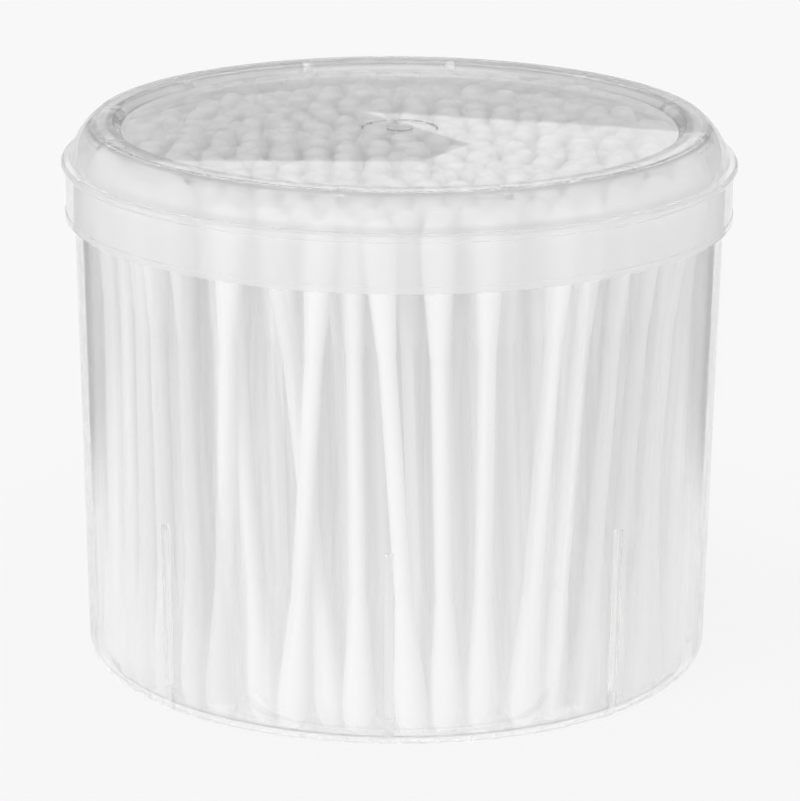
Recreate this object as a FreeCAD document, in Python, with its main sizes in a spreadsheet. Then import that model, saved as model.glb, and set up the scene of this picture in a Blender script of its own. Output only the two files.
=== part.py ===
# Cotton swab tub: a clear moulded tub with a push-down lid, full of standing double-ended swabs.
# Millimetres. The origin is the middle of the tub's foot, +Z is up, and -Y faces the viewer.

import FreeCAD, Part
import math
import os
import random
import re

import Sketcher

os.makedirs("parts", exist_ok=True)

V = FreeCAD.Vector

doc = FreeCAD.newDocument("cotton_swab_tub")

# Driving dimensions

sizes = doc.addObject("Spreadsheet::Sheet", "Sizes")

driving = {
    # tub
    "tub_radius_low": (45.05, "outer radius of the tub just above its bottom corner"),
    "tub_draft": (1.39, "degrees by which the tub's wall leans out, so that it leaves its mould"),
    "rim_below_tips": (2.0, "how far the rim lies below the ends of swabs that stand upright"),
    "tub_wall": (1.2, "thickness of the tub's wall"),
    "tub_floor": (0.75, "thickness of the tub's floor"),
    "corner_radius": (3.4, "outer radius of the tub's bottom corner"),
    "foot_height": (0.15, "height of the foot ring below the floor"),
    "foot_width": (1.4, "radial width of the foot ring"),
    "rib_count": (8, "upright stacking ribs inside the tub"),
    "rib_height": (28.4, "height of a rib's top above the table"),
    "rib_depth": (0.8, "how far a rib stands in from the wall"),
    "rib_thickness": (1.2, "thickness of a rib"),
    "rib_phase": (268.7, "degrees from +X to the rib that faces the viewer"),
    # lid
    "skirt_gap": (0.2, "radial gap between the tub's rim and the lid's skirt"),
    "lid_wall": (0.85, "thickness of the lid's walls"),
    "skirt_depth": (7.7, "how far the lid's skirt reaches down below the tub's rim"),
    "hem_thickness": (0.12, "how far the lid's hem stands proud of the skirt"),
    "hem_height": (1.0, "height of the hem along the skirt's lower edge"),
    "bead_height": (1.3, "height of the round bead round the top of the skirt"),
    "bead_step": (0.25, "how far the bead's straight flanks stand proud of the skirt"),
    "bead_rise": (0.65, "height of the bead's top above the tub's rim"),
    "rim_gap": (0.3, "gap between the tub's rim and the ledge inside the lid"),
    "shoulder_inset": (2.77, "how far the outside of the lid's flat ring lies inside the tub's rim"),
    "shoulder_bulge": (9.0, "radius of the convex shoulder"),
    "shoulder_spread": (3.3, "how much wider the shoulder is at its foot than at its top"),
    "lid_rise": (5.8, "height of the lid's flat top ring above the tub's rim"),
    "ring_width": (2.9, "width of the lid's flat ring, between its shoulder and its recessed disc"),
    "step_depth": (1.2, "depth of the recessed disc below the flat ring"),
    "step_slope": (1.2, "how much narrower the step between ring and disc is at its foot"),
    "dish_radius": (5.5, "radius of the shallow dish round the gate mark"),
    "dish_depth": (0.25, "depth of that dish"),
    "gate_radius": (1.9, "radius of the gate mark in the dish"),
    "gate_height": (0.35, "height of the gate mark above the dish"),
    "gusset_count": (12, "small gussets under the lid's flat ring"),
    "gusset_thickness": (1.3, "thickness of a gusset"),
    "gusset_drop": (1.2, "height of a gusset below the flat ring"),
    "gusset_phase": (19.6, "degrees from +X to the first gusset"),
    # swabs
    "swab_length": (74.9, "length of a swab over both tips"),
    "stick_diameter": (2.5, "diameter of a stick"),
    "tip_diameter": (4.5, "diameter of a cotton tip at its widest"),
    "tip_end_diameter": (2.8, "diameter of the blunt end of a cotton tip"),
    "tip_widest": (4.5, "distance from a tip's end to its widest place"),
    "tip_length": (19.0, "length of a cotton tip, with its long taper onto the stick"),
    "neck_layer": (0.15, "thickness of the cotton where the taper ends on the stick"),
    "swab_gap": (0.15, "least gap from a swab to the floor, the wall and its neighbours"),
    "outer_pitch": (5.24, "spacing of the swabs in the row along the wall"),
    "inner_pitch": (4.85, "spacing of the swabs in the other rows"),
    "row_count": (9, "rows of swabs between the wall and the middle"),
    "middle_share": (0.57, "distance of the innermost row from the middle, in row spacings"),
}

for line, (alias, (amount, meaning)) in enumerate(driving.items(), start=1):
    sizes.set(f"A{line}", meaning)
    sizes.set(f"B{line}", str(amount))
    sizes.setAlias(f"B{line}", alias)
doc.recompute()


def value(expression):
    """What an expression on the sheet's aliases gives, as a plain number."""
    return float(sizes.evalExpression(expression))


def named_in_sheet(word):
    return f"Sizes.{word[0]}" if word[0] in driving else word[0]


def bound(expression):
    """The same expression as an object outside the sheet has to write it."""
    return re.sub("[a-z_]+", named_in_sheet, expression)


# Bodies, sketches and turned shapes

def new_body(name):
    body = doc.addObject("PartDesign::Body", name)
    body.Label = name
    return body


def datum(body, role):
    """One of a body's own origin planes or axes."""
    return next(f for f in body.Origin.OriginFeatures if f.Role == role)


def outline(body, name, corners, arcs=None, turned_by=None):
    """A closed outline in the upright plane through the body's axis.

    corners are (radius, height) expressions in order. arcs gives the radius expression of the
    side that starts at a corner, positive where the side bulges to the right of its direction.
    turned_by is the angle expression by which the plane is turned about the axis.
    """
    arcs = arcs or {}
    sketch = body.newObject("Sketcher::SketchObject", name)
    sketch.AttachmentSupport = [(datum(body, "XZ_Plane"), "")]
    sketch.MapMode = "FlatFace"
    if turned_by:
        turn = FreeCAD.Rotation(V(0, 1, 0), value(turned_by))
        sketch.AttachmentOffset = FreeCAD.Placement(V(0, 0, 0), turn)
    points = [V(value(r), value(z), 0) for r, z in corners]
    for i, start in enumerate(points):
        end = points[(i + 1) % len(points)]
        if i in arcs:
            radius = value(arcs[i])
            chord = end - start
            right = V(chord.y, -chord.x, 0).normalize() * math.copysign(1, radius)
            half = chord.Length / 2
            sagitta = abs(radius) - math.sqrt(radius**2 - half**2)
            middle = start + chord * 0.5 + right * sagitta
            sketch.addGeometry(Part.Arc(start, middle, end), False)
        else:
            sketch.addGeometry(Part.LineSegment(start, end), False)

    # an arc is kept counterclockwise, so its ends may have changed places
    def ends(i):
        first = sketch.getPoint(i, 1)
        return (1, 2) if first.distanceToPoint(points[i]) < 1e-6 else (2, 1)

    for i in range(len(points)):
        after = (i + 1) % len(points)
        sketch.addConstraint(
            Sketcher.Constraint("Coincident", i, ends(i)[1], after, ends(after)[0])
        )
    for i, (r, z) in enumerate(corners):
        for kind, axis, amount, place in (
            ("DistanceX", -2, r, points[i].x),
            ("DistanceY", -1, z, points[i].y),
        ):
            if abs(place) < 1e-9:
                sketch.addConstraint(
                    Sketcher.Constraint("PointOnObject", i, ends(i)[0], axis)
                )
                continue
            number = sketch.addConstraint(
                Sketcher.Constraint(kind, -1, 1, i, ends(i)[0], place)
            )
            sketch.setExpression(f"Constraints[{number}]", bound(amount))
    for i, amount in arcs.items():
        number = sketch.addConstraint(
            Sketcher.Constraint("Radius", i, abs(value(amount)))
        )
        sketch.setExpression(f"Constraints[{number}]", bound(f"abs({amount})"))
    doc.recompute()
    return sketch


def revolve(body, name, sketch):
    """The sketch turned once round the body's axis."""
    turned = body.newObject("PartDesign::Revolution", name)
    turned.Profile = sketch
    turned.ReferenceAxis = (sketch, ["V_Axis"])
    turned.Angle = 360
    doc.recompute()
    return turned


def ring_of_webs(body, name, sketch, thickness, count):
    """A thin web on the sketch's plane, repeated round the body's axis."""
    web = body.newObject("PartDesign::Pad", f"{name}_web")
    web.Profile = sketch
    web.Midplane = True
    web.Length = value(thickness)
    web.setExpression("Length", bound(thickness))
    doc.recompute()
    ring = body.newObject("PartDesign::PolarPattern", f"{name}_ring")
    ring.Originals = [web]
    ring.Axis = (datum(body, "Z_Axis"), [""])
    ring.Angle = 360
    ring.Occurrences = int(value(count))
    ring.setExpression("Occurrences", bound(count))
    body.Tip = ring
    doc.recompute()
    return ring


# The tub: wall, floor, foot ring and rounded corner in one turned outline

slope = "tan(tub_draft * 1deg)"
floor_top = "(foot_height + tub_floor)"
tub_height = f"({floor_top} + swab_length - rim_below_tips)"


def tub_outer(z):
    """Outer radius of the tub's wall at a height, as an expression."""
    return f"(tub_radius_low + (({z}) - corner_radius) * {slope})"


def tub_inner(z):
    """Inner radius of the tub's wall at a height, as an expression."""
    return f"({tub_outer(z)} - tub_wall)"


inner_corner = "(corner_radius - tub_wall)"
rim_crown = "(tub_wall * 0.6)"
rim_sagitta = f"({rim_crown} - sqrt({rim_crown}^2 - (tub_wall / 2)^2))"
rim_edge = f"({tub_height} - {rim_sagitta})"
foot_outer = "(tub_radius_low - corner_radius)"

tub = new_body("tub")
tub_outline = outline(
    tub,
    "tub_outline",
    [
        ("0", "foot_height"),
        (f"{foot_outer} - foot_width", "foot_height"),
        (f"{foot_outer} - foot_width", "0"),
        (foot_outer, "0"),
        ("tub_radius_low", "corner_radius"),
        (tub_outer(rim_edge), rim_edge),
        (tub_inner(rim_edge), rim_edge),
        (tub_inner(f"{floor_top} + {inner_corner}"), f"{floor_top} + {inner_corner}"),
        (f"{tub_inner(f'{floor_top} + {inner_corner}')} - {inner_corner}", floor_top),
        ("0", floor_top),
    ],
    arcs={3: "corner_radius", 5: rim_crown, 7: f"-{inner_corner}"},
)
revolve(tub, "tub_shell", tub_outline)

rib_outline = outline(
    tub,
    "rib_outline",
    [
        (f"{tub_inner(floor_top)} - rib_depth", f"{floor_top} - tub_floor / 2"),
        (f"{tub_inner(floor_top)} - tub_wall / 4", f"{floor_top} - tub_floor / 2"),
        (
            f"{tub_inner(f'{floor_top} + corner_radius')} + tub_wall / 2",
            f"{floor_top} + corner_radius",
        ),
        (f"{tub_inner('rib_height')} + tub_wall / 2", "rib_height"),
        (f"{tub_inner('rib_height')} - rib_depth / 2", "rib_height"),
        (f"{tub_inner('rib_height - rib_depth')} - rib_depth", "rib_height - rib_depth"),
    ],
    turned_by="rib_phase",
)
ring_of_webs(tub, "rib", rib_outline, "rib_thickness", "rib_count")


# The lid: skirt with its hem, bead, convex shoulder, flat ring, step and recessed disc

skirt_low = f"({tub_height} - skirt_depth)"
skirt_inner = f"({tub_outer(tub_height)} + skirt_gap)"
skirt_outer = f"({skirt_inner} + lid_wall)"
bead_high = f"({tub_height} + bead_rise)"
bead_low = f"({bead_high} - bead_height)"
bead_flank = f"({skirt_outer} + bead_step)"
ring_top = f"({tub_height} + lid_rise)"
ring_under = f"({ring_top} - lid_wall)"
disc_top = f"({ring_top} - step_depth)"
disc_under = f"({disc_top} - lid_wall)"
ledge = f"({tub_height} + rim_gap)"
shoulder_radius = f"({tub_outer(tub_height)} - shoulder_inset)"
shoulder_foot = f"({shoulder_radius} + shoulder_spread)"
step_radius = f"({shoulder_radius} - ring_width)"
step_outer = f"({step_radius} + lid_wall)"
hem_top = f"({skirt_low} + hem_height)"

lid = new_body("lid")
lid_outline = outline(
    lid,
    "lid_outline",
    [
        (skirt_inner, skirt_low),
        (f"{skirt_outer} + hem_thickness", skirt_low),
        (f"{skirt_outer} + hem_thickness", f"{hem_top} - hem_thickness"),
        (skirt_outer, hem_top),
        (skirt_outer, bead_low),
        (bead_flank, bead_low),
        (bead_flank, bead_high),
        (shoulder_foot, bead_high),
        (shoulder_radius, ring_top),
        (step_radius, ring_top),
        (f"{step_radius} - step_slope", disc_top),
        ("dish_radius", disc_top),
        ("dish_radius - dish_depth", f"{disc_top} - dish_depth"),
        ("gate_radius", f"{disc_top} - dish_depth"),
        ("gate_radius", f"{disc_top} - dish_depth + gate_height"),
        ("0", f"{disc_top} - dish_depth + gate_height"),
        ("0", disc_under),
        (f"{step_outer} - step_slope", disc_under),
        (step_outer, ring_under),
        (f"{shoulder_radius} - lid_wall * 0.75", ring_under),
        (f"{shoulder_foot} - lid_wall * 1.4", ledge),
        (skirt_inner, ledge),
    ],
    arcs={5: "bead_height * 0.55", 7: "shoulder_bulge", 19: "-(shoulder_bulge - lid_wall)"},
)
revolve(lid, "lid_shell", lid_outline)

gusset_outline = outline(
    lid,
    "gusset_outline",
    [
        (f"{step_radius} - step_slope + lid_wall", f"{ring_under} - gusset_drop"),
        (f"{shoulder_radius} + lid_wall", f"{ring_under} - gusset_drop"),
        (f"{shoulder_radius} - lid_wall / 2", f"{ring_under} + lid_wall / 2"),
        (f"{step_radius} + lid_wall / 2", f"{ring_under} + lid_wall / 2"),
    ],
    turned_by="gusset_phase",
)
ring_of_webs(lid, "gusset", gusset_outline, "gusset_thickness", "gusset_count")


# Where the swabs stand: rows from the wall to the middle, each swab straight but leaning

swab_length = value("swab_length")
stick_radius = value("stick_diameter") / 2
tip_radius = value("tip_diameter") / 2
tip_end_radius = value("tip_end_diameter") / 2
tip_widest = value("tip_widest")
tip_length = value("tip_length")
neck_radius = stick_radius + value("neck_layer")
swab_gap = value("swab_gap")

foot_of_swabs = value(floor_top) + swab_gap


def thickness_along(along):
    """Radius of a swab at a distance from its lower end."""
    from_end = min(along, swab_length - along)
    if from_end >= tip_length:
        return stick_radius
    if from_end >= tip_widest:
        share = (from_end - tip_widest) / (tip_length - tip_widest)
        return tip_radius + share * (neck_radius - tip_radius)
    return tip_end_radius + from_end / tip_widest * (tip_radius - tip_end_radius)


# heights at which swabs are kept apart: at their ends, at the widest places and along the taper
taper = tip_length - tip_widest
levels = [0.0, tip_widest, tip_widest + taper / 3, tip_widest + taper * 2 / 3, tip_length]
levels += [swab_length / 2] + [swab_length - along for along in reversed(levels)]


def room_at(along):
    """How far from the axis a swab's own axis may be at that distance from its lower end."""
    height = foot_of_swabs + along
    inside = value(tub_inner(str(min(height, value(tub_height)))))
    corner = value(inner_corner)
    below = value(floor_top) + corner - height
    if below > 0:
        inside -= corner - math.sqrt(max(corner**2 - below**2, 0.0))
    return inside - thickness_along(along) - swab_gap


room = [room_at(along) for along in levels]
girth = [thickness_along(along) for along in levels]
lower_reach = room[0]

# The swabs by the wall, from the viewer's left to right: how many degrees each leans along it.
# Some cross, and on the right they lean all one way. All the others lean to either side by chance.
front_leans = [-4, 4, -10, 7, -11, 2, -12, -3, 0, 8, 7, 8, 9, 12]
front_start = 227.0
lean_by_chance = 3.2
row_twist = 5.0
chance = random.Random(11)


def row_of(count, number, radius):
    """Foot and head points of one row's swabs, as [x, y, x, y]."""
    swabs = []
    start = chance.uniform(0, 360) if number else front_start
    for i in range(count):
        low = start + 360 * (i + chance.uniform(-0.1, 0.1)) / count
        high = low + row_twist * (-1) ** number + chance.gauss(0, lean_by_chance)
        if number == 0 and i < len(front_leans):
            high = low + front_leans[i]
        lower = radius + chance.uniform(-0.8, 0.0)
        upper = radius + chance.uniform(-0.4, 0.8)
        swabs.append(
            [
                lower * math.cos(math.radians(low)),
                lower * math.sin(math.radians(low)),
                upper * math.cos(math.radians(high)),
                upper * math.sin(math.radians(high)),
            ]
        )
    return swabs


row_count = int(value("row_count"))
row_spacing = lower_reach / (row_count - 1 + value("middle_share"))
rows = []
for number in range(row_count):
    row_radius = lower_reach - number * row_spacing
    pitch = value("inner_pitch") if number else value("outer_pitch")
    count = int(2 * math.pi * row_radius / pitch)
    rows.append(row_of(count, number, row_radius))

print("rows", [len(row) for row in rows], "swabs", sum(len(row) for row in rows))


def part_swabs(first, second):
    """Moves two swabs that stand too close at any height, and says by how much they were."""
    worst = 0.0
    x = second[0] - first[0]
    y = second[1] - first[1]
    along_x = second[2] - first[2] - x
    along_y = second[3] - first[3] - y
    turning = along_x**2 + along_y**2
    nearest = -(x * along_x + y * along_y) / turning if turning else 0.5
    nearest = min(max(nearest, stick_from), 1 - stick_from)
    for share, radius in [*zip(shares, girth), (nearest, stick_radius)]:
        dx = x + along_x * share
        dy = y + along_y * share
        apart = math.hypot(dx, dy)
        short = 2 * radius + swab_gap - apart
        if short <= 0:
            continue
        worst = max(worst, short)
        push = 0.5 * short / (max(apart, 1e-6) * ((1 - share) ** 2 + share**2))
        low = push * (1 - share)
        high = push * share
        first[0] -= dx * low
        first[1] -= dy * low
        first[2] -= dx * high
        first[3] -= dy * high
        second[0] += dx * low
        second[1] += dy * low
        second[2] += dx * high
        second[3] += dy * high
        x = second[0] - first[0]
        y = second[1] - first[1]
        along_x = second[2] - first[2] - x
        along_y = second[3] - first[3] - y
    return worst


def push_point(swab, share, dx, dy):
    """Moves a swab so that its point at that share of its length goes by dx and dy."""
    scale = (1 - share) ** 2 + share**2
    swab[0] += dx * (1 - share) / scale
    swab[1] += dy * (1 - share) / scale
    swab[2] += dx * share / scale
    swab[3] += dy * share / scale


def keep_inside(swab):
    """Moves a swab in from the wall and off the ribs, and says how far it had to go."""
    worst = 0.0
    for share, radius, reach, obstacles in zip(shares, girth, room, ribs_at):
        px = swab[0] + (swab[2] - swab[0]) * share
        py = swab[1] + (swab[3] - swab[1]) * share
        out = math.hypot(px, py)
        if out > reach:
            worst = max(worst, out - reach)
            push_point(swab, share, px * (reach / out - 1), py * (reach / out - 1))
        for rib_x, rib_y in obstacles:
            dx = px - rib_x
            dy = py - rib_y
            apart = math.hypot(dx, dy)
            short = radius + rib_reach + swab_gap - apart
            if short > 0:
                worst = max(worst, short)
                push_point(swab, share, dx * short / apart, dy * short / apart)
    lean = math.hypot(swab[2] - swab[0], swab[3] - swab[1])
    if lean > most_lean:
        spare = 0.5 * (1 - most_lean / lean)
        dx = (swab[2] - swab[0]) * spare
        dy = (swab[3] - swab[1]) * spare
        swab[0] += dx
        swab[1] += dy
        swab[2] -= dx
        swab[3] -= dy
    return worst


def settle(swabs):
    """Lets the swabs push each other apart until each has its gap."""
    close = []
    for turn in range(turn_count):
        if turn % turns_between_looks == 0:
            look = 2 * tip_radius + look_ahead
            close = [
                (a, b)
                for i, a in enumerate(swabs)
                for b in swabs[i + 1:]
                if math.hypot(a[0] - b[0], a[1] - b[1]) < look
                or math.hypot(a[2] - b[2], a[3] - b[3]) < look
                or math.hypot(a[0] + a[2] - b[0] - b[2], a[1] + a[3] - b[1] - b[3]) < 2 * look
            ]
        worst = max([part_swabs(a, b) for a, b in close] + [keep_inside(a) for a in swabs])
        if worst < swab_gap / 3 and turn % turns_between_looks == turns_between_looks - 1:
            break
    print("swabs settled in", turn + 1, "turns, short of their gap by", round(worst, 3))


shares = [along / swab_length for along in levels]
stick_from = tip_length / swab_length
most_lean = 8.5
turn_count = 600
turns_between_looks = 20
look_ahead = 2.0

# a rib is kept clear as a round post at its inner edge
rib_reach = value("rib_thickness") / 2
ribs_at = []
for along in levels:
    height = foot_of_swabs + along
    posts = []
    if height < value("rib_height") + tip_radius:
        post = value(tub_inner(str(height))) - value("rib_depth") + rib_reach
        for k in range(int(value("rib_count"))):
            angle = math.radians(value("rib_phase") + 360 * k / value("rib_count"))
            posts.append((post * math.cos(angle), post * math.sin(angle)))
    ribs_at.append(posts)

settle([swab for row in rows for swab in row])

# Swab pieces: a stick between two wound cotton tips, each a turned form with a few flat sides


def flat_sided(sides, stations):
    """A solid with flat sides round an upright axis, through (height, radius) stations."""
    rings = [
        [
            V(radius * math.cos(2 * math.pi * k / sides), radius * math.sin(2 * math.pi * k / sides), z)
            for k in range(sides)
        ]
        for z, radius in stations
    ]
    faces = [Part.Face(Part.makePolygon(ring + ring[:1])) for ring in (rings[0], rings[-1])]
    for low, high in zip(rings, rings[1:]):
        for k in range(sides):
            after = (k + 1) % sides
            corners = [low[k], low[after], high[after], high[k], low[k]]
            faces.append(Part.Face(Part.makePolygon(corners)))
    solid = Part.Solid(Part.Shell(faces))
    if solid.Volume < 0:
        solid.reverse()
    return solid


tip_stations = [(0, tip_end_radius), (tip_widest, tip_radius), (tip_length, neck_radius)]
upper_tip_stations = [(swab_length - z, radius) for z, radius in reversed(tip_stations)]
stick_stations = [(tip_length, stick_radius), (swab_length - tip_length, stick_radius)]

side_count_by_wall = 5
side_count_behind = 4
side_count_within = 3

swab_parts = []
for number, row in enumerate(rows, start=1):
    sides = {1: side_count_by_wall, 2: side_count_behind}.get(number, side_count_within)
    for name, stations in (
        ("sticks", stick_stations),
        ("lower_tips", tip_stations),
        ("upper_tips", upper_tip_stations),
    ):
        form = flat_sided(sides, stations)
        pieces = []
        for swab in row:
            lean = V(swab[2] - swab[0], swab[3] - swab[1], 0)
            rise = math.sqrt(swab_length**2 - lean.Length**2)
            raised = tip_end_radius * lean.Length / swab_length
            foot = V(swab[0], swab[1], foot_of_swabs + raised)
            upright = FreeCAD.Rotation(V(0, 0, 1), lean + V(0, 0, rise))
            pieces.append(form.transformed(FreeCAD.Placement(foot, upright).Matrix, copy=True))
        feature = doc.addObject("Part::Feature", f"{name}_row_{number}")
        feature.Label = f"{name}_row_{number}"
        feature.Shape = Part.makeCompound(pieces)
        feature.Placement = FreeCAD.Placement()
        swab_parts.append(feature)

# Check every piece, then write it

doc.recompute()
for item in doc.Objects:
    faults = {"Invalid", "Error"} & set(item.State)
    if faults:
        raise RuntimeError(f"{item.Label}: {faults}")

for part in [tub, lid, *swab_parts]:
    shape = part.Shape
    if shape.isNull() or not shape.isValid():
        raise RuntimeError(f"{part.Label} has no sound shape")
    box = shape.optimalBoundingBox()
    print(
        f"{part.Label}: {len(shape.Solids)} solids, {shape.Volume:.0f} mm3,"
        f" z {box.ZMin:.2f} to {box.ZMax:.2f}, reach {max(box.XMax, box.YMax):.2f}"
    )
    shape.exportStep(f"parts/{part.Label}.step")
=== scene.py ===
# %% [markdown]
# # A clear tub of cotton swabs
# The tub and its lid are two thin mouldings of clear polystyrene, and nearly everything that the
# picture shows is white cotton seen through them. So the lesson has three parts: thin clear walls
# with true edges, nearly two hundred and fifty swabs that lean on each other, and a light that
# lets white things keep their form on a white ground.

# %% Load the frame
import math
import random

import bmesh
import bpy
from mathutils import Matrix, Vector


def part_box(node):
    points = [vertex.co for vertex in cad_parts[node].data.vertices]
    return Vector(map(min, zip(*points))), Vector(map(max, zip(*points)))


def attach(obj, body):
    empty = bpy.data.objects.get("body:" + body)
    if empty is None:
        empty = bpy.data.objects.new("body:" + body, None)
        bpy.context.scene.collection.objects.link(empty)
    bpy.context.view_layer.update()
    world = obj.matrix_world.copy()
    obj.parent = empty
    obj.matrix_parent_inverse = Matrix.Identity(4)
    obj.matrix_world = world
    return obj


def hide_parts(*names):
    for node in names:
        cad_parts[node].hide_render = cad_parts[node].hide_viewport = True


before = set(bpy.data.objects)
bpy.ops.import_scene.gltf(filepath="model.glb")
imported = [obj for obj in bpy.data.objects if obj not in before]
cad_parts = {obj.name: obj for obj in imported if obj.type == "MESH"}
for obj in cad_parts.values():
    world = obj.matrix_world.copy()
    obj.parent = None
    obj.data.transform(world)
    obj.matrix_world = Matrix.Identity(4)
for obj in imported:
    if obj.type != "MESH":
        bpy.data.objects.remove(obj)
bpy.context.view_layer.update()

# %% [markdown]
# Every length here is in metres, as in Blender. A household part is easier to think of in
# millimetres, so each size is written as a count of them. The heights come from the frame where
# it has them: the rim is the top of the tub's box, and the lid's ring is the top of the lid's.

# %% Heights from the frame
mm = 0.001
lid_low, lid_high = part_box("lid")
rim_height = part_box("tub")[1][2]
ring_top = lid_high[2]
skirt_low = lid_low[2]
print("rim, ring and skirt in mm", [round(v / mm, 2) for v in (rim_height, ring_top, skirt_low)])

# %% [markdown]
# A moulding like this is a turned form: one outline, spun once round the upright axis. The
# outline has only the corners that the shape needs, and its round stretches are arcs. An arc is
# given by its radius, with a sign for the side that it bulges to.

# %% Helper: outlines with arcs
def arc(start, end, radius, steps=6):
    """Points from start to end on an arc that bulges right of the way, or left if radius < 0."""
    start = Vector(start)
    chord = Vector(end) - start
    right = Vector((chord.y, -chord.x)).normalized() * math.copysign(1, radius)
    depth = math.sqrt(radius**2 - (chord.length / 2) ** 2)
    centre = start + chord / 2 - right * depth
    first = start - centre
    turn = 2 * math.asin(chord.length / 2 / abs(radius)) * math.copysign(1, radius)
    return [centre + Matrix.Rotation(turn * k / steps, 2) @ first for k in range(1, steps)]


def outline_points(corners, arcs):
    """All points of a closed outline. arcs maps a corner's number to the radius that follows it."""
    points = []
    for number, corner in enumerate(corners):
        points.append(Vector(corner))
        if number in arcs:
            after = corners[(number + 1) % len(corners)]
            points += arc(corner, after, arcs[number])
    return points


# %% Helper: from bmesh to a finished object
def finished(name, bm, sharp_degrees=32):
    """An object at the origin, with smooth faces and with sharp edges where it folds."""
    for face in bm.faces:
        face.smooth = True
    for edge in bm.edges:
        edge.smooth = edge.calc_face_angle(0.0) < math.radians(sharp_degrees)
    mesh = bpy.data.meshes.new(name)
    bm.to_mesh(mesh)
    bm.free()
    piece = bpy.data.objects.new(name, mesh)
    bpy.context.scene.collection.objects.link(piece)
    return piece


# %% Helper: a turned shell
def turned(points, around, closed=True):
    """A bmesh spun from (radius, height) points, with its doubles merged and faces outwards."""
    bm = bmesh.new()
    verts = [bm.verts.new((p[0], 0, p[1])) for p in points]
    pairs = list(zip(verts, verts[1:]))
    if closed and points[0][0] > 0:
        pairs.append((verts[-1], verts[0]))
    edges = [bm.edges.new(pair) for pair in pairs]
    bmesh.ops.spin(
        bm,
        geom=verts + edges,
        cent=(0, 0, 0),
        axis=(0, 0, 1),
        dvec=(0, 0, 0),
        angle=math.tau,
        steps=around,
        use_merge=True,
        use_duplicate=False,
    )
    bmesh.ops.remove_doubles(bm, verts=bm.verts, dist=1e-6)
    bmesh.ops.recalc_face_normals(bm, faces=bm.faces)
    return bm


# %% [markdown]
# The tub. The real wall leans out by a degree and a half, so that it leaves the mould and nests
# in the next tub, and a well rounded corner joins it to a floor on a low foot. A cylinder with
# Solidify and Bevel modifiers would come close. One spun outline is chosen, because it states
# every thickness and radius inside and out, and gives the closed skin that clear plastic needs.

# %% The tub's sizes
tub_radius_low = 45.05 * mm
tub_wall = 1.2 * mm
tub_floor = 0.75 * mm
corner_radius = 3.4 * mm
foot_height = 0.15 * mm
foot_width = 1.4 * mm
tub_draft = math.radians(1.39)
around = 256

slope = math.tan(tub_draft)
floor_top = foot_height + tub_floor
inner_corner = corner_radius - tub_wall
inner_foot = floor_top + inner_corner
foot_outer = tub_radius_low - corner_radius
rim_crown = 0.6 * tub_wall
rim_edge = rim_height - (rim_crown - math.sqrt(rim_crown**2 - (tub_wall / 2) ** 2))


def tub_outer(z):
    """The wall's outer radius at a height."""
    return tub_radius_low + (z - corner_radius) * slope


def tub_inner(z):
    """The wall's inner radius at a height."""
    return tub_outer(z) - tub_wall


print("tub radius at the rim in mm", round(tub_outer(rim_height) / mm, 2))

# %% The tub's shell
tub_corners = [
    (0, foot_height),
    (foot_outer - foot_width, foot_height),
    (foot_outer - foot_width, 0),
    (foot_outer, 0),
    (tub_radius_low, corner_radius),
    (tub_outer(rim_edge), rim_edge),
    (tub_inner(rim_edge), rim_edge),
    (tub_inner(inner_foot), inner_foot),
    (tub_inner(inner_foot) - inner_corner, floor_top),
    (0, floor_top),
]
tub_arcs = {3: corner_radius, 5: rim_crown, 7: -inner_corner}
tub_shell = finished("clear_tub", turned(outline_points(tub_corners, tub_arcs), around))
print("tub shell faces", len(tub_shell.data.polygons))

# %% [markdown]
# The ribs. Eight low ribs inside the wall keep nested tubs from jamming. They could be boxes that
# stand a little way into the wall, but in a clear part the faces hidden there would show as extra
# glassy lines. So a Boolean modifier fuses them to the wall, as in the mould.

# %% Helper: thin webs round the axis
def webs(name, points, thickness, count, phase):
    """Flat webs in upright planes through the axis, from one outline of (radius, height)."""
    bm = bmesh.new()
    for k in range(count):
        verts = [bm.verts.new((r, -thickness / 2, z)) for r, z in points]
        face = bm.faces.new(verts)
        grown = bmesh.ops.extrude_face_region(bm, geom=[face])["geom"]
        far = [v for v in grown if isinstance(v, bmesh.types.BMVert)]
        bmesh.ops.translate(bm, verts=far, vec=(0, thickness, 0))
        turn = Matrix.Rotation(phase + math.tau * k / count, 3, "Z")
        bmesh.ops.rotate(bm, verts=verts + far, cent=(0, 0, 0), matrix=turn)
    bmesh.ops.recalc_face_normals(bm, faces=bm.faces)
    return finished(name, bm)


def fused(shell, addition):
    """The shell with the addition moulded on, as one closed skin. The addition is used up."""
    union = shell.modifiers.new("moulded on", "BOOLEAN")
    union.operation = "UNION"
    union.solver = "EXACT"
    union.object = addition
    ready = shell.evaluated_get(bpy.context.evaluated_depsgraph_get())
    bm = bmesh.new()
    bm.from_mesh(bpy.data.meshes.new_from_object(ready))
    name = shell.name
    for used in (shell, addition):
        bpy.data.objects.remove(used)
    bmesh.ops.remove_doubles(bm, verts=bm.verts, dist=1e-6)
    return finished(name, bm)


# %% The tub with its ribs
rib_count = 8
rib_height = 28.4 * mm
rib_depth = 0.8 * mm
rib_thickness = 1.2 * mm
rib_phase = math.radians(268.7)

rib_corners = [
    (tub_inner(floor_top) - rib_depth, floor_top - tub_floor / 2),
    (tub_inner(floor_top) - tub_wall / 4, floor_top - tub_floor / 2),
    (tub_inner(floor_top + corner_radius) + tub_wall / 2, floor_top + corner_radius),
    (tub_inner(rib_height) + tub_wall / 2, rib_height),
    (tub_inner(rib_height) - rib_depth / 2, rib_height),
    (tub_inner(rib_height - rib_depth) - rib_depth, rib_height - rib_depth),
]
ribs = webs("ribs", rib_corners, rib_thickness, rib_count, rib_phase)
tub = fused(tub_shell, ribs)
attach(tub, "tub")
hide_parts("tub")
print("tub faces", len(tub.data.polygons))

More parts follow.
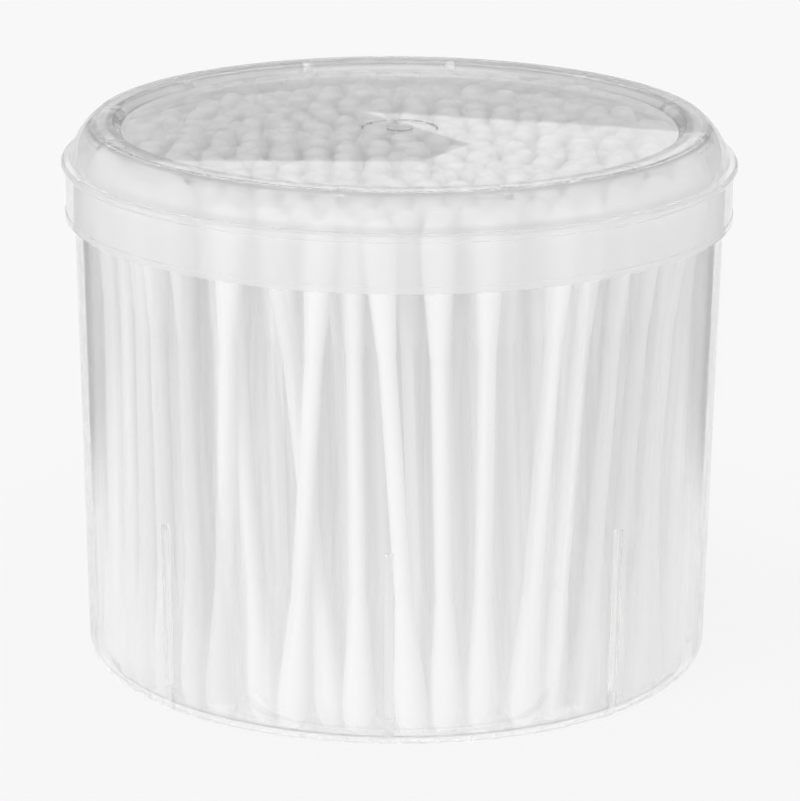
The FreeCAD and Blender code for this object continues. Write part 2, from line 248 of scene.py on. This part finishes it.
# %% [markdown]
# The lid. A skirt slips over the tub's rim, and a round bead above it is the grip for a thumb.
# From the bead a convex shoulder climbs to a flat ring, and inside the ring the top steps down to
# a large flat disc, so that tubs stack. The middle of the disc has the mark of the mould's gate.
# It is one more spun outline, and it starts from the tub's rim, so that the two always fit.

# %% The lid's sizes
skirt_gap = 0.2 * mm
lid_wall = 0.85 * mm
hem_thickness = 0.12 * mm
hem_height = 1.0 * mm
bead_height = 1.3 * mm
bead_step = 0.25 * mm
bead_rise = 0.65 * mm
rim_gap = 0.3 * mm
shoulder_inset = 2.77 * mm
shoulder_spread = 3.3 * mm
shoulder_bulge = 9.0 * mm
ring_width = 2.9 * mm
step_depth = 1.2 * mm
step_slope = 1.2 * mm
dish_radius = 5.5 * mm
dish_depth = 0.25 * mm
gate_radius = 1.9 * mm
gate_height = 0.35 * mm

skirt_inner = tub_outer(rim_height) + skirt_gap
skirt_outer = skirt_inner + lid_wall
hem_top = skirt_low + hem_height
bead_high = rim_height + bead_rise
bead_low = bead_high - bead_height
bead_flank = skirt_outer + bead_step
bead_round = 0.55 * bead_height
ledge = rim_height + rim_gap
shoulder_radius = tub_outer(rim_height) - shoulder_inset
shoulder_inner = shoulder_radius - 0.75 * lid_wall
shoulder_foot = shoulder_radius + shoulder_spread
shoulder_foot_inner = shoulder_foot - 1.4 * lid_wall
step_radius = shoulder_radius - ring_width
ring_under = ring_top - lid_wall
disc_top = ring_top - step_depth
disc_under = disc_top - lid_wall
print("lid radius at the skirt in mm", round(skirt_outer / mm, 2))

# %% The lid's shell
lid_corners = [
    (skirt_inner, skirt_low),
    (skirt_outer + hem_thickness, skirt_low),
    (skirt_outer + hem_thickness, hem_top - hem_thickness),
    (skirt_outer, hem_top),
    (skirt_outer, bead_low),
    (bead_flank, bead_low),
    (bead_flank, bead_high),
    (shoulder_foot, bead_high),
    (shoulder_radius, ring_top),
    (step_radius, ring_top),
    (step_radius - step_slope, disc_top),
    (dish_radius, disc_top),
    (dish_radius - dish_depth, disc_top - dish_depth),
    (gate_radius, disc_top - dish_depth),
    (gate_radius, disc_top - dish_depth + gate_height),
    (0, disc_top - dish_depth + gate_height),
    (0, disc_under),
    (step_radius + lid_wall - step_slope, disc_under),
    (step_radius + lid_wall, ring_under),
    (shoulder_inner, ring_under),
    (shoulder_foot_inner, ledge),
    (skirt_inner, ledge),
]
lid_arcs = {5: bead_round, 7: shoulder_bulge, 19: -(shoulder_bulge - lid_wall)}
lid_shell = finished("clear_lid", turned(outline_points(lid_corners, lid_arcs), around))
print("lid shell faces", len(lid_shell.data.polygons))

# %% [markdown]
# The gussets. Small webs under the ring keep such a lid stiff, and the picture shows three of
# them at the back. They are made and fused as the ribs are, in one even round of twelve.

# %% The lid with its gussets
gusset_count = 12
gusset_thickness = 1.3 * mm
gusset_drop = 1.2 * mm
gusset_phase = math.radians(19.6)

gusset_corners = [
    (step_radius - step_slope + lid_wall, ring_under - gusset_drop),
    (shoulder_radius + lid_wall, ring_under - gusset_drop),
    (shoulder_radius - lid_wall / 2, ring_under + lid_wall / 2),
    (step_radius + lid_wall / 2, ring_under + lid_wall / 2),
]
gussets = webs("gussets", gusset_corners, gusset_thickness, gusset_count, gusset_phase)
lid = fused(lid_shell, gussets)
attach(lid, "lid")
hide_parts("lid")
print("lid faces", len(lid.data.polygons))

# %% [markdown]
# The swabs. They stand on end in rings and lean on each other, and the frame already says where
# each one stands: its sticks are plain prisms, one island of vertices each, and the middles of an
# island's two ends give the swab's axis. So nothing is placed by hand here. The islands are found
# on a merged copy, because a frame mesh is loose triangles.

# %% Read the swabs' axes from the frame
def islands(node):
    """The corner points of each separate solid in a CAD node."""
    bm = bmesh.new()
    bm.from_mesh(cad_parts[node].data)
    bmesh.ops.remove_doubles(bm, verts=bm.verts, dist=1e-6)
    left = set(bm.verts)
    found = []
    while left:
        reached = [left.pop()]
        for vert in reached:
            for edge in vert.link_edges:
                other = edge.other_vert(vert)
                if other in left:
                    left.remove(other)
                    reached.append(other)
        found.append([v.co.copy() for v in reached])
    bm.free()
    return found


def stick_axes(node):
    """(lower end, upper end) of each stick in a node, in a steady order."""
    axes = []
    for points in islands(node):
        points.sort(key=lambda p: p.z)
        half = len(points) // 2
        axes.append((sum(points[:half], Vector()) / half, sum(points[half:], Vector()) / half))
    axes.sort(key=lambda ends: math.atan2(ends[0].y, ends[0].x))
    return axes


row_numbers = range(1, 1 + sum(name.startswith("sticks_row_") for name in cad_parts))
swab_rows = [stick_axes(f"sticks_row_{number}") for number in row_numbers]
print("swabs in each row", [len(row) for row in swab_rows])

# %% [markdown]
# One swab is three turned pieces: a stick, and at each end a bulb of cotton whose taper runs a
# long way down the stick. Linked copies of one swab would do as well in Blender, but each row is
# made one mesh, because it then stands for one part of the frame. The row along the wall is seen
# closely, so it is turned finely. The rows within show little more than the round ends of their
# upper tips, so those get a few dozen faces each and their hidden ends fewer.

# %% Swab forms
swab_length = 74.9 * mm
stick_radius = 1.25 * mm
tip_length = 19.0 * mm

# how thick a tip is: (distance from its blunt end, radius), both in millimetres
fine_tip = [
    (0.0, 0.0), (0.12, 0.8), (0.5, 1.42), (1.2, 1.87), (2.3, 2.15), (3.6, 2.24), (4.8, 2.25),
    (6.4, 2.2), (8.4, 2.07), (10.8, 1.87), (13.4, 1.66), (16.0, 1.49), (18.4, 1.37), (19.0, 1.25),
]
plain_tip = [(0.0, 0.0), (0.22, 1.0), (0.9, 1.7), (2.3, 2.12), (4.6, 2.25), (19.0, 1.3)]
hidden_tip = [(0.0, 0.0), (1.2, 1.85), (4.6, 2.25), (19.0, 1.3)]


def tip_form(stations, sides):
    """A tip's bmesh, with its blunt end at the origin and its taper up the axis."""
    points = [(r * mm, z * mm) for z, r in stations] + [(0.0, stations[-1][0] * mm)]
    return turned(points, sides, closed=False)


def stick_form(sides):
    """A stick's bmesh, as far as it is bare, at its height on an upright swab."""
    points = [(0, tip_length), (stick_radius, tip_length)]
    points += [(stick_radius, swab_length - tip_length), (0, swab_length - tip_length)]
    return turned(points, sides, closed=False)


def placed(target, form, place):
    """Adds a copy of a form to the target bmesh, moved by the matrix place."""
    count = len(target.verts)
    mesh = bpy.data.meshes.new("form")
    form.to_mesh(mesh)
    target.from_mesh(mesh)
    bpy.data.meshes.remove(mesh)
    target.verts.ensure_lookup_table()
    bmesh.ops.transform(target, matrix=place, verts=target.verts[count:])


print("stations of the three tips", [len(tip) for tip in (fine_tip, plain_tip, hidden_tip)])

# %% Place the swabs row by row
wall_row_sides = (20, 20, 16)
inner_row_sides = (12, 6, 6)
head_shortfall = (0.3, 1.3)
wall_row_widths = (0.98, 1.03)
inner_row_widths = (0.94, 1.0)
swab_fold_degrees = 60

chance = random.Random(5)
cotton_pieces = []
stick_pieces = []
for number, axes in zip(row_numbers, swab_rows):
    by_wall = number == 1
    upper_sides, lower_sides, stick_sides = wall_row_sides if by_wall else inner_row_sides
    upper_form = tip_form(fine_tip if by_wall else plain_tip, upper_sides)
    lower_form = tip_form(fine_tip if by_wall else hidden_tip, lower_sides)
    stick = stick_form(stick_sides)
    upper_tips = bmesh.new()
    lower_tips = bmesh.new()
    sticks = bmesh.new()
    for low, high in axes:
        direction = (high - low).normalized()
        foot = low - direction * tip_length
        # no two swabs are wound alike: they differ a little in length, in width and in turn
        head = high + direction * (tip_length - chance.uniform(*head_shortfall) * mm)
        up = direction.to_track_quat("Z", "Y").to_matrix().to_4x4()
        down = (-direction).to_track_quat("Z", "Y").to_matrix().to_4x4()
        width = chance.uniform(*(wall_row_widths if by_wall else inner_row_widths))
        fullness = Matrix.Diagonal((width, width, 1.0, 1.0))
        spin = Matrix.Rotation(chance.uniform(0, math.tau), 4, "Z")
        placed(lower_tips, lower_form, Matrix.Translation(foot) @ up @ spin @ fullness)
        placed(upper_tips, upper_form, Matrix.Translation(head) @ down @ spin @ fullness)
        placed(sticks, stick, Matrix.Translation(foot) @ up @ spin)
    for kind, bm, kept in (
        ("upper_tips", upper_tips, cotton_pieces),
        ("lower_tips", lower_tips, cotton_pieces),
        ("sticks", sticks, stick_pieces),
    ):
        manner = "wound" if kept is cotton_pieces else "bare"
        piece = finished(f"{manner}_{kind}_{number}", bm, swab_fold_degrees)
        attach(piece, "tub")
        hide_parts(f"{kind}_row_{number}")
        kept.append(piece)
    for form in (upper_form, lower_form, stick):
        form.free()
print("swab pieces", len(cotton_pieces) + len(stick_pieces))

# %% [markdown]
# A material is a small tree of nodes. A few helpers keep the trees below short enough to read:
# each adds one node, links what it is given, and hands back the socket to go on from.

# %% Helper: material nodes
def grey(value):
    """A grey as a colour."""
    return (value, value, value, 1)


def new_material(name):
    """An empty material, its node tree and its output node."""
    material = bpy.data.materials.new(name)
    material.use_nodes = True
    tree = material.node_tree
    tree.nodes.clear()
    return material, tree, tree.nodes.new("ShaderNodeOutputMaterial")


def tree_value(tree, operation, first, second=0.0):
    """A Math node's output, from sockets or plain numbers."""
    node = tree.nodes.new("ShaderNodeMath")
    node.operation = operation
    for socket, given in zip(node.inputs, (first, second)):
        if isinstance(given, (int, float)):
            socket.default_value = given
        else:
            tree.links.new(given, socket)
    return node.outputs["Value"]


def times(tree, first, second):
    """The product of two sockets or numbers."""
    return tree_value(tree, "MULTIPLY", first, second)


def less(tree, first, second):
    """What is left of the first socket or number when the second is taken away."""
    return tree_value(tree, "SUBTRACT", first, second)


def tree_range(tree, given, from_low, from_high, to_low, to_high, smooth=False):
    """A Map Range node's output."""
    node = tree.nodes.new("ShaderNodeMapRange")
    if smooth:
        node.interpolation_type = "SMOOTHSTEP"
    node.inputs["From Min"].default_value = from_low
    node.inputs["From Max"].default_value = from_high
    node.inputs["To Min"].default_value = to_low
    node.inputs["To Max"].default_value = to_high
    tree.links.new(given, node.inputs["Value"])
    return node.outputs["Result"]


def plain_shader(tree, kind, colour=1.0, strength=None):
    """The output of a shader of one colour. The colour is a grey or a socket."""
    node = tree.nodes.new(kind)
    if isinstance(colour, float):
        node.inputs["Color"].default_value = grey(colour)
    else:
        tree.links.new(colour, node.inputs["Color"])
    if strength is not None:
        tree.links.new(strength, node.inputs["Strength"])
    return node.outputs[0]


def blend(tree, share, first, second):
    """A Mix Shader's output: the second where share is 1. share is a socket or a plain number."""
    node = tree.nodes.new("ShaderNodeMixShader")
    if isinstance(share, float):
        node.inputs["Fac"].default_value = share
    else:
        tree.links.new(share, node.inputs["Fac"])
    tree.links.new(first, node.inputs[1])
    tree.links.new(second, node.inputs[2])
    return node.outputs["Shader"]


def place_parts(tree, kind="Object"):
    """X, Y and Z of a point, or in a world those of a direction, as three sockets."""
    place = tree.nodes.new("ShaderNodeTexCoord")
    parts = tree.nodes.new("ShaderNodeSeparateXYZ")
    tree.links.new(place.outputs[kind], parts.inputs["Vector"])
    return parts.outputs["X"], parts.outputs["Y"], parts.outputs["Z"]


def turned_place(tree):
    """The distance from the tub's axis and the height, as two sockets."""
    x, y, z = place_parts(tree)
    flat = tree.nodes.new("ShaderNodeCombineXYZ")
    tree.links.new(x, flat.inputs["X"])
    tree.links.new(y, flat.inputs["Y"])
    radius = tree.nodes.new("ShaderNodeVectorMath")
    radius.operation = "LENGTH"
    tree.links.new(flat.outputs["Vector"], radius.inputs[0])
    return radius.outputs["Value"], z


# %% [markdown]
# The cotton's finish. Cotton is white without shine, and what gives it away is a faint nap of
# wound fibres. Hair strands would show that from close by. From where the picture stands a fine
# noise does as well at no cost: it lifts the surface and shades it a little. The same group
# serves the sticks, which are smooth, far weaker.

# %% Node group: fine fibres
fibres = bpy.data.node_groups.new("fine_fibres", "ShaderNodeTree")
for label, way, kind in (
    ("Grain per metre", "INPUT", "NodeSocketFloat"),
    ("Light", "INPUT", "NodeSocketColor"),
    ("Dark", "INPUT", "NodeSocketColor"),
    ("Color", "OUTPUT", "NodeSocketColor"),
    ("Height", "OUTPUT", "NodeSocketFloat"),
):
    fibres.interface.new_socket(label, in_out=way, socket_type=kind)
fibre_in = fibres.nodes.new("NodeGroupInput")
fibre_out = fibres.nodes.new("NodeGroupOutput")
fibre_place = fibres.nodes.new("ShaderNodeTexCoord")
fibre_noise = fibres.nodes.new("ShaderNodeTexNoise")
fibre_noise.inputs["Detail"].default_value = 3.0
fibre_noise.inputs["Roughness"].default_value = 0.6
fibre_mix = fibres.nodes.new("ShaderNodeMix")
fibre_mix.data_type = "RGBA"
fibres.links.new(fibre_place.outputs["Object"], fibre_noise.inputs["Vector"])
fibres.links.new(fibre_in.outputs["Grain per metre"], fibre_noise.inputs["Scale"])
fibres.links.new(fibre_noise.outputs["Fac"], fibre_mix.inputs["Factor"])
fibres.links.new(fibre_in.outputs["Dark"], fibre_mix.inputs["A"])
fibres.links.new(fibre_in.outputs["Light"], fibre_mix.inputs["B"])
fibres.links.new(fibre_mix.outputs["Result"], fibre_out.inputs["Color"])
fibres.links.new(fibre_noise.outputs["Fac"], fibre_out.inputs["Height"])
print("fibre group sockets", len(fibres.interface.items_tree))

# %% [markdown]
# Light among the swabs. White cotton hands light on from swab to swab dozens of times, many more
# than a render follows, and a heap of it would come out grey. So where a diffuse ray, one that
# gathers light for another surface, meets a swab, it is given a glow instead of a bounce. The
# glow is strongest near the white floor, and the inner heads, which stand close together under
# the lid, hand on less, so that they part from each other.

# %% Helper: the glow and the fibrous material
stick_heights = (5 * mm, 65 * mm)
glow_between_sticks = (0.84, 0.66)
inner_heads_end = (35 * mm, 40 * mm)
head_heights = (60 * mm, 71 * mm)
light_lost_between_heads = 0.28
fibre_specular = 0.25


def glow_of_neighbours(tree):
    """How strongly a swab lights its neighbours, from its height and its distance from the axis."""
    radius, height = turned_place(tree)
    inner_share = tree_range(tree, radius, *inner_heads_end, 1.0, 0.0)
    deep_share = times(tree, inner_share, tree_range(tree, height, *head_heights, 0.0, 1.0))
    between_sticks = tree_range(tree, height, *stick_heights, *glow_between_sticks)
    return less(tree, between_sticks, times(tree, deep_share, light_lost_between_heads))


def fibrous(name, light, dark, grain, relief, roughness, sheen):
    """A white matt material whose colour and relief come from the fibre group."""
    material, tree, output = new_material(name)
    shader = tree.nodes.new("ShaderNodeBsdfPrincipled")
    shader.inputs["Roughness"].default_value = roughness
    shader.inputs["Sheen Weight"].default_value = sheen
    shader.inputs["Specular IOR Level"].default_value = fibre_specular
    group = tree.nodes.new("ShaderNodeGroup")
    group.node_tree = fibres
    group.inputs["Grain per metre"].default_value = grain
    group.inputs["Light"].default_value = grey(light)
    group.inputs["Dark"].default_value = grey(dark)
    tree.links.new(group.outputs["Color"], shader.inputs["Base Color"])
    if relief:
        bump = tree.nodes.new("ShaderNodeBump")
        bump.inputs["Strength"].default_value = 1.0
        bump.inputs["Distance"].default_value = relief
        tree.links.new(group.outputs["Height"], bump.inputs["Height"])
        tree.links.new(bump.outputs["Normal"], shader.inputs["Normal"])
    glow = plain_shader(tree, "ShaderNodeEmission", strength=glow_of_neighbours(tree))
    path = tree.nodes.new("ShaderNodeLightPath")
    whole = blend(tree, path.outputs["Is Diffuse Ray"], shader.outputs["BSDF"], glow)
    tree.links.new(whole, output.inputs["Surface"])
    return material


# %% Cotton and stick
cotton = fibrous(
    "cotton", light=0.95, dark=0.89, grain=2600, relief=0.06 * mm, roughness=0.95, sheen=0.15
)
stick_white = fibrous(
    "stick", light=0.93, dark=0.9, grain=900, relief=0.0, roughness=0.5, sheen=0.0
)
for piece in cotton_pieces:
    piece.data.materials.append(cotton)
for piece in stick_pieces:
    piece.data.materials.append(stick_white)
print("cotton on", len(cotton_pieces), "pieces, stick on", len(stick_pieces))

# %% [markdown]
# The clear plastic. Polystyrene bends light more than window glass does, so its edges show. A
# Principled shader with full transmission is the plain way to make it, and four mixes fit it to
# this part. A veil of milk stands where the moulding is cloudy. A quarter of all light passes
# straight on, which softens the glassy lines. Lamps couldn't reach the cotton through a
# refracting shell, and light from swab to swab would be lost in it, so for shadow rays and
# diffuse rays the wall counts as open.
#
# In the real part each inside corner has a small round, which bends light aside and so shows as
# a thin dark line. Rounds that fine are lost in a render, so painted shade, a darker base colour
# near the corner's ring, draws the line here.

# %% Helper: clear plastic
plastic_ior = 1.57
clear_tint = 0.975
# the dark grey of the painted shade at the plastic's inside corners
painted_corner_shade = 0.25
milk_white = 0.95
milk_let_through = 0.5
straight_share = 0.25


def near_corners(tree, radius, height, corners):
    """1 near the given rings of (radius, height, reach), and 0 elsewhere."""
    there = tree.nodes.new("ShaderNodeCombineXYZ")
    tree.links.new(radius, there.inputs["X"])
    tree.links.new(height, there.inputs["Y"])
    most = 0.0
    for ring_radius, ring_height, reach in corners:
        apart = tree.nodes.new("ShaderNodeVectorMath")
        apart.operation = "DISTANCE"
        apart.inputs[1].default_value = (ring_radius, ring_height, 0)
        tree.links.new(there.outputs["Vector"], apart.inputs[0])
        near = tree_range(tree, apart.outputs["Value"], reach / 2, reach, 1.0, 0.0)
        most = tree_value(tree, "MAXIMUM", most, near)
    return most


def clear_plastic(name, milkiness, shaded_corners):
    """Clear plastic. milkiness gives the share of milk from the radius and the height."""
    material, tree, output = new_material(name)
    radius, height = turned_place(tree)
    painted_shade = near_corners(tree, radius, height, shaded_corners)
    shader = tree.nodes.new("ShaderNodeBsdfPrincipled")
    # painted shade: near the corner rings the base colour darkens from the plastic's own tint to a
    # dark grey
    tint_and_painted_shade = tree_range(tree, painted_shade, 0.0, 1.0, clear_tint, painted_corner_shade)
    tree.links.new(tint_and_painted_shade, shader.inputs["Base Color"])
    shader.inputs["Roughness"].default_value = 0.0
    shader.inputs["IOR"].default_value = plastic_ior
    shader.inputs["Transmission Weight"].default_value = 1.0
    veil = blend(
        tree,
        milk_let_through,
        plain_shader(tree, "ShaderNodeBsdfDiffuse", milk_white),
        plain_shader(tree, "ShaderNodeBsdfTranslucent", milk_white),
    )
    clear = plain_shader(tree, "ShaderNodeBsdfTransparent")
    path = tree.nodes.new("ShaderNodeLightPath")
    wall = blend(tree, milkiness(tree, radius, height), shader.outputs["BSDF"], veil)
    wall = blend(tree, straight_share, wall, clear)
    wall = blend(tree, path.outputs["Is Diffuse Ray"], wall, clear)
    wall = blend(tree, path.outputs["Is Shadow Ray"], wall, clear)
    tree.links.new(wall, output.inputs["Surface"])
    return material


# %% [markdown]
# The milk. In the picture the ribs are paler than the wall, and the skirt, where lid and wall lie
# double, is cloudier than the flat top. Both are read from the place on the part: a rib is what
# stands in from the wall's inner face, and the skirt is what lies outside the shoulder.

# %% The tub's plastic
rib_milk = 0.5
rib_edge = (0.03 * mm, 0.1 * mm)
rib_milk_starts = (3.5 * mm, 4.5 * mm)


def milky_ribs(tree, radius, height):
    """Milk in the ribs, which stand in from the wall's inner face."""
    wall_inside = tree_range(tree, height, 0.0, rim_height, tub_inner(0.0), tub_inner(rim_height))
    stands_in = less(tree, wall_inside, radius)
    share = tree_range(tree, stands_in, *rib_edge, 0.0, rib_milk)
    return times(tree, share, tree_range(tree, height, *rib_milk_starts, 0.0, 1.0))


# each ring where shade is painted: its radius and height, and how far the painted shade reaches
tub_corners_shaded = [
    (foot_outer, 0.0, 0.45 * mm),
    (tub_inner(inner_foot) - inner_corner, floor_top, 0.6 * mm),
]
tub.data.materials.append(clear_plastic("clear_tub", milky_ribs, tub_corners_shaded))
print("clear tub, with dark corners:", len(tub_corners_shaded))

# %% The lid's plastic
top_milk = 0.03
skirt_milk = 0.52
skirt_edge = 0.5 * mm
skimming = (0.3, 0.9)
milk_left_when_skimmed = 0.4


def milky_skirt(tree, radius, height):
    """Milk in the skirt, less where the eye skims the wall, and hardly any in the flat top."""
    facing = tree.nodes.new("ShaderNodeLayerWeight").outputs["Facing"]
    share = tree_range(
        tree, radius, shoulder_radius, shoulder_radius + skirt_edge, top_milk, skirt_milk
    )
    return times(tree, share, tree_range(tree, facing, *skimming, 1.0, milk_left_when_skimmed))


# rings where shade is painted into the lid: under the ring, at the step's foot, the shoulder and
# the ledge
lid_corners_shaded = [
    (step_radius + lid_wall, ring_under, 0.4 * mm),
    (step_radius + lid_wall - step_slope, disc_under, 0.5 * mm),
    (shoulder_radius + 0.6 * mm, ring_top - 0.4 * mm, 0.35 * mm),
    (shoulder_foot_inner, ledge, 1.1 * mm),
]
lid.data.materials.append(clear_plastic("clear_lid", milky_skirt, lid_corners_shaded))
print("clear lid, with dark corners:", len(lid_corners_shaded))

# %% [markdown]
# The stage. The real tub stands on white paper that runs on into a white wall. A flat floor does
# for both: near the tub it is partly matt, so that it takes the tub's soft shadow, and further
# out it turns into the plain ground.
#
# Clear walls on white need something dark to bend, or their edges vanish, which is why black
# cards are set up beside glass in a studio. Cards would stand in the way of the other views. So
# the floor darkens instead, far out on both sides and far behind, and only for what is seen in
# or through the plastic: Blender counts a ray as glossy where a smooth surface has bent it.

# %% The floor
ground = 0.9387
floor_size = 3.0
floor_white = 0.96
shadow_fades = (0.05, 0.13)
plain_share_near = 0.75

floor_bm = bmesh.new()
bmesh.ops.create_grid(floor_bm, x_segments=1, y_segments=1, size=floor_size)
floor = finished("floor", floor_bm)
print("floor reaches", floor_size, "m each way")

# %% The floor as the plastic shows it
dark_side_slope = 0.56
dark_side_edge = (0.043, 0.050)
dark_side_starts = (0.045, 0.09)
pale_side_slope = 0.75
pale_side_edge = (0.045, 0.10)
side_greys = (0.22, 0.6)
far_end = (0.27, 0.33)
far_end_grey = 0.72 * ground


def floor_in_plastic(tree):
    """How light the floor is for a ray that comes out of the plastic."""
    sideways, behind, _ = place_parts(tree)
    aside = tree_value(tree, "ABSOLUTE", sideways)
    past_side = less(tree, aside, times(tree, behind, dark_side_slope))
    past_side = tree_range(tree, past_side, *dark_side_edge, 0.0, 1.0)
    dark_share = times(tree, past_side, tree_range(tree, behind, *dark_side_starts, 0.0, 1.0))
    well_past = less(tree, aside, times(tree, behind, pale_side_slope))
    side_grey = tree_range(tree, well_past, *pale_side_edge, *side_greys)
    middle_grey = tree_range(tree, behind, *far_end, ground, far_end_grey)
    light_share = less(tree, 1.0, dark_share)
    middle_part = times(tree, light_share, middle_grey)
    return tree_value(tree, "ADD", middle_part, times(tree, dark_share, side_grey))


floor_material, floor_tree, floor_output = new_material("pale_floor")
matt = plain_shader(floor_tree, "ShaderNodeBsdfDiffuse", floor_white)
plain = plain_shader(floor_tree, "ShaderNodeEmission", ground)
in_plastic = plain_shader(
    floor_tree, "ShaderNodeEmission", strength=floor_in_plastic(floor_tree)
)
floor_path = floor_tree.nodes.new("ShaderNodeLightPath")
far_floor = blend(floor_tree, floor_path.outputs["Is Glossy Ray"], plain, in_plastic)
from_tub, _ = turned_place(floor_tree)
far_share = tree_range(floor_tree, from_tub, *shadow_fades, plain_share_near, 1.0, smooth=True)
whole_floor = blend(floor_tree, far_share, matt, far_floor)
floor_tree.links.new(whole_floor, floor_output.inputs["Surface"])
floor.data.materials.append(floor_material)
print("floor nodes", len(floor_tree.nodes))

# %% [markdown]
# The room. The world answers three kinds of ray. The camera sees the plain ground. The cotton and
# the floor are lit by an even room. The plastic mirrors a studio with two pale panels low behind
# the tub and unlit walls beside and before it, because the flat disc of the real lid shows such
# panels: one from the left that lies higher, one from the right that comes down lower, and
# between them an unlit patch with a rounded nose. Real panels of light would do the same, but
# they would also light the cotton and stand in the way of other views.

# %% The panels that the lid mirrors
panel_grey = 0.94
panel_softness = 0.0006
left_panel_low = 0.2250
right_panel_low = 0.2150
right_panel_rise = 0.0034
right_panel_rises = (-0.01, 0.060)
nose_low, nose_tip, nose_high = -0.010, 0.0134, 0.004
nose_height = 0.2217
nose_softness = 0.002
unlit_heights = (0.206, 0.213)
unlit_greys = (0.15, 0.46)

world = bpy.data.worlds.new("white_room")
bpy.context.scene.world = world
world.use_nodes = True
room = world.node_tree
room.nodes.clear()
sideways, forwards, upwards = place_parts(room, "Generated")


def beyond(given, edge, softness):
    """0 up to an edge and 1 beyond it, in the world's tree."""
    return tree_range(room, less(room, given, edge), 0.0, softness, 0.0, 1.0)


over_left = beyond(upwards, left_panel_low, panel_softness)
right_low = tree_range(
    room, sideways, *right_panel_rises, right_panel_low, right_panel_low + right_panel_rise
)
over_right = beyond(upwards, right_low, panel_softness)
rising = tree_range(room, upwards, right_panel_low, nose_height, nose_low, nose_tip)
falling = tree_range(room, upwards, nose_height, left_panel_low, nose_tip, nose_high)
nose = tree_value(room, "MINIMUM", rising, falling)
right_of_nose = beyond(sideways, nose, nose_softness)
panels = tree_value(room, "MAXIMUM", over_left, times(room, over_right, right_of_nose))
lit_part = times(room, panels, panel_grey)
unlit = tree_range(room, upwards, *unlit_heights, *unlit_greys)
unlit_part = times(room, less(room, 1.0, panels), unlit)
behind_tub = tree_value(room, "ADD", lit_part, unlit_part)
print("panels begin at", left_panel_low, "and", right_panel_low)

# %% The room's walls and its light
side_wall_starts = (0.12, 0.5)
side_wall_grey = 0.35
front_wall_ends = (-0.7, -0.3)
front_wall_grey = 0.6
light_heights = (0.2, 0.9)
light_greys = (0.9, 0.84)
light_sides = (0.3, 0.9)
light_from_sides = 1.12

beside = tree_value(room, "ABSOLUTE", sideways)
side_wall = tree_range(room, beside, *side_wall_starts, 1.0, side_wall_grey)
front_wall = tree_range(room, forwards, *front_wall_ends, front_wall_grey, 1.0)
mirrored = times(room, times(room, side_wall, front_wall), behind_tub)
room_light = times(
    room,
    tree_range(room, upwards, *light_heights, *light_greys),
    tree_range(room, beside, *light_sides, 1.0, light_from_sides),
)

room_path = room.nodes.new("ShaderNodeLightPath")
room_output = room.nodes.new("ShaderNodeOutputWorld")
lit_room = plain_shader(room, "ShaderNodeBackground", room_light)
mirrored_room = plain_shader(room, "ShaderNodeBackground", mirrored)
seen_ground = plain_shader(room, "ShaderNodeBackground", ground)
whole_room = blend(room, room_path.outputs["Is Glossy Ray"], lit_room, mirrored_room)
whole_room = blend(room, room_path.outputs["Is Camera Ray"], whole_room, seen_ground)
room.links.new(whole_room, room_output.inputs["Surface"])
print("world nodes", len(room.nodes))

# %% [markdown]
# The lamp. One weak, wide softbox from the front left gives the swabs a light and a shaded side.
# A sun would give the same direction, but with hard shadows that the picture doesn't have.

# %% The lamp
softbox_place = (-0.6, -0.75, 0.45)
softbox_size = 0.6
softbox_watts = 1.6
softbox_aim = (0, 0, 0.04)

lamp = bpy.data.lights.new("softbox_front_left", "AREA")
lamp.shape = "SQUARE"
lamp.size = softbox_size
lamp.energy = softbox_watts
softbox = bpy.data.objects.new("softbox_front_left", lamp)
bpy.context.scene.collection.objects.link(softbox)
softbox.location = softbox_place
towards_tub = Vector(softbox_aim) - Vector(softbox_place)
softbox.rotation_euler = towards_tub.to_track_quat("-Z", "Y").to_euler()
print("softbox", round(towards_tub.length, 3), "m from the tub")

# %% [markdown]
# The camera looks a little down on the tub from the front, through a long lens, as the picture's
# outlines say: the ovals of the lid and of the foot give the angle, and how the wall narrows
# towards the foot gives the distance.

# %% The camera
picture_width = 800
picture_height = 801
sensor_width = 36.0
focal_pixels = 4872.6
camera_tilt = math.radians(15.83)
camera_distance = 708.8 * mm
aim_height = 37.75 * mm
tub_middle_pixel = 397.9
camera_roll = math.radians(0.389)

camera_data = bpy.data.cameras.new("camera")
camera_data.sensor_width = sensor_width
camera_data.lens = sensor_width * focal_pixels / picture_height
camera_data.shift_x = (picture_width / 2 - tub_middle_pixel) / picture_height
camera_data.clip_start = 0.05
camera_data.clip_end = 20.0
camera = bpy.data.objects.new("camera", camera_data)
bpy.context.scene.collection.objects.link(camera)
back = Vector((0, -math.cos(camera_tilt), math.sin(camera_tilt)))
camera.location = Vector((0, 0, aim_height)) + back * camera_distance
upright = (-back).to_track_quat("-Z", "Y").to_matrix()
camera.rotation_euler = (upright @ Matrix.Rotation(camera_roll, 3, "Z")).to_euler()
bpy.context.scene.camera = camera
bpy.context.scene.view_settings.view_transform = "Standard"
print("camera lens in mm", round(camera_data.lens, 1))
